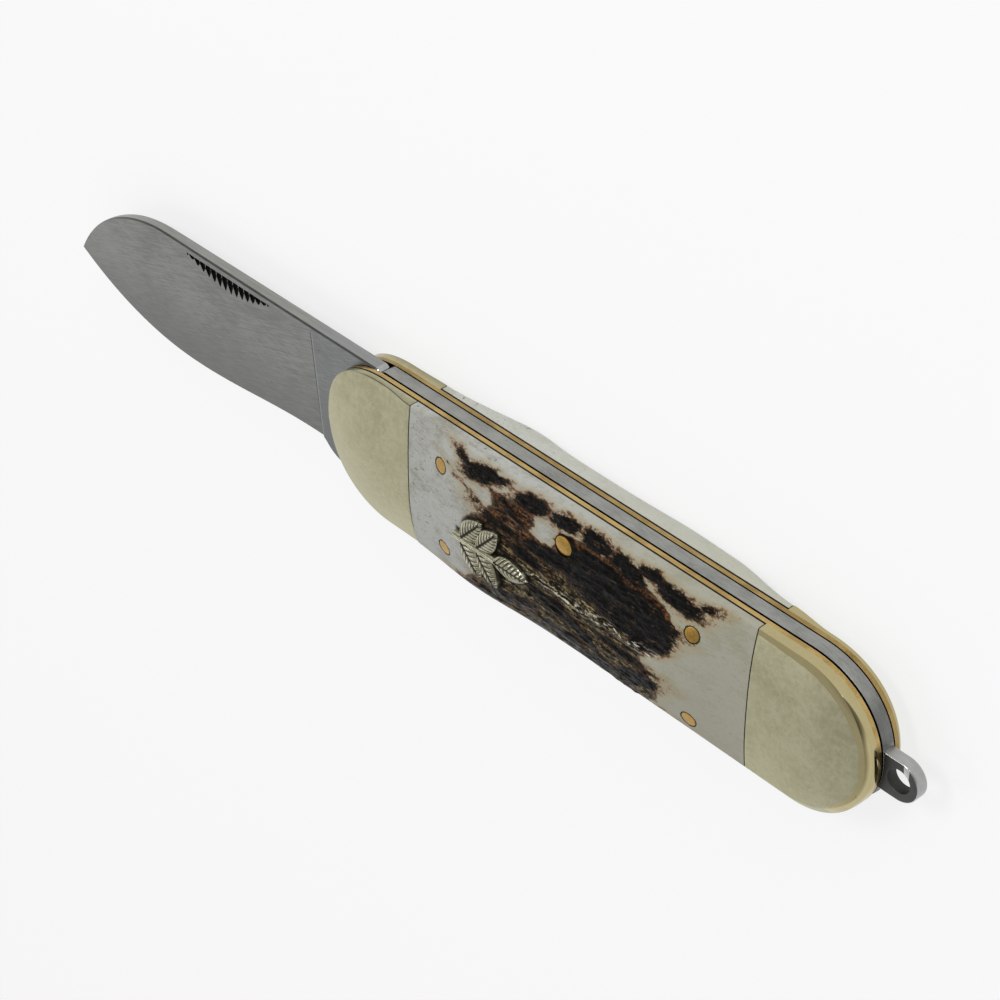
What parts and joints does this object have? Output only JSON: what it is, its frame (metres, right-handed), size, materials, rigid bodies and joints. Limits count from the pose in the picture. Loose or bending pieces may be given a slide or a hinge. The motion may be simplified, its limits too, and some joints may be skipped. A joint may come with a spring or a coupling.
{
  "type": "folding pocket knife",
  "caption": "Slip-joint folding pocket knife with a broad blade, bolstered stag handle, inlaid leaf badge and a lanyard bail at the butt, shown open.",
  "frame": {"origin": "middle of the worn flat under the pile scale, halfway along the scale and halfway between spine and belly", "axes": "+X along the handle towards the butt and bail, with the open blade along -X; +Y towards the spine; +Z through the thickness to the mark side with the nail pull"},
  "size_m": [0.1526, 0.0218, 0.011],
  "materials": {
    "blade_steel": "fine satin grind across the blade",
    "spring_steel": "satin, polished along its edges",
    "nickel_silver": "polished pale yellowish nickel silver",
    "brass": "satin brass",
    "stag": "smooth off-white antler with dark brown bark left on the mark side"
  },
  "bodies": {
    "handle": {"backspring": "spring_steel", "badge": "nickel_silver", "badge_pin_front": "nickel_silver", "badge_pin_rear": "nickel_silver", "mark_liner": "brass", "mark_front_bolster": "nickel_silver", "mark_rear_bolster": "nickel_silver", "mark_scale": "stag", "mark_pin_front_upper": "brass", "mark_pin_front_lower": "brass", "mark_pin_rear_upper": "brass", "mark_pin_rear_lower": "brass", "pile_liner": "brass", "pile_front_bolster": "nickel_silver", "pile_rear_bolster": "nickel_silver", "pile_scale": "stag", "pile_pin_front_upper": "brass", "pile_pin_front_lower": "brass", "pile_pin_rear_upper": "brass", "pile_pin_rear_lower": "brass", "center_pin": "brass", "pivot_pin": "nickel_silver", "rear_spring_pin": "nickel_silver"},
    "blade": {"blade": "blade_steel"}
  },
  "joints": [
    {"name": "blade_pivot", "type": "hinge", "parent": "handle", "child": "blade", "pos_m": [-0.03495, -0.0021, 0.00499], "axis": [0, 0, 1], "range_deg": [0, 180], "deforming": ["backspring"]}
  ]
}
